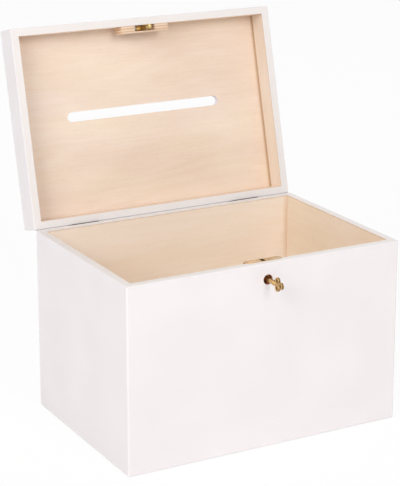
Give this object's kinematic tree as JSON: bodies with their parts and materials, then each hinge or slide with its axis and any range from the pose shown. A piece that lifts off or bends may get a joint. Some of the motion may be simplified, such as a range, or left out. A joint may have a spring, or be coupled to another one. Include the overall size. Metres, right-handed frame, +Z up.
{
  "type": "desk letter box",
  "caption": "White-painted plywood letter box, bare birch inside, with a hinged tray lid, a long letter slot, a small brass box lock and its key.",
  "frame": {"origin": "centre of the box's foot, on the surface it rests on", "axes": "+Z up; the front of the box, with its keyhole, faces -Y; +X is to the right as seen from the front"},
  "size_m": [0.3, 0.3111, 0.3848],
  "materials": {
    "painted_plywood": "birch plywood with white satin paint on its outside and rims, bare inside",
    "birch_plywood": "bare sanded birch plywood",
    "brass": "plain rolled brass",
    "aged_brass": "cast or stamped brass, darkened in its recesses",
    "bronzed_steel": "steel with a dark bronze plating",
    "zinc_steel": "zinc-plated or spring steel"
  },
  "bodies": {
    "box": {"front_panel": "painted_plywood", "back_panel": "painted_plywood", "left_panel": "painted_plywood", "right_panel": "painted_plywood", "bottom_panel": "birch_plywood", "lock_case": "brass", "lock_cap": "aged_brass", "lock_selvage": "brass", "lock_spring": "zinc_steel", "key_post": "zinc_steel", "lock_rivets": "aged_brass", "lock_screws": "zinc_steel", "hinge_left_box_leaf": "bronzed_steel", "hinge_left_pin": "bronzed_steel", "hinge_right_box_leaf": "bronzed_steel", "hinge_right_pin": "bronzed_steel", "hinge_box_screws": "bronzed_steel"},
    "lid": {"lid_panel": "painted_plywood", "lid_front_rail": "painted_plywood", "lid_back_rail": "painted_plywood", "lid_left_rail": "painted_plywood", "lid_right_rail": "painted_plywood", "catch_block": "birch_plywood", "catch_plate": "brass", "catch_hook": "brass", "catch_screws": "zinc_steel", "hinge_left_lid_leaf": "bronzed_steel", "hinge_right_lid_leaf": "bronzed_steel", "hinge_lid_screws": "bronzed_steel"},
    "key": {"key": "aged_brass"},
    "bolt": {"lock_bolt": "aged_brass"}
  },
  "joints": [
    {"name": "lid_hinge", "type": "hinge", "parent": "box", "child": "lid", "pos_m": [0, 0.1027, 0.1868], "axis": [1, 0, 0], "range_deg": [0, 104]},
    {"name": "key_turn", "type": "hinge", "parent": "box", "child": "key", "pos_m": [0, -0.1, 0.1715], "axis": [0, 1, 0], "range_deg": [0, 90]},
    {"name": "bolt_slide", "type": "slide", "parent": "box", "child": "bolt", "axis": [-1, 0, 0], "range_m": [0, 0.005]}
  ],
  "couplings": [
    {"joint": "key_turn", "follows": "bolt_slide", "rad_per_m": 314.15}
  ]
}
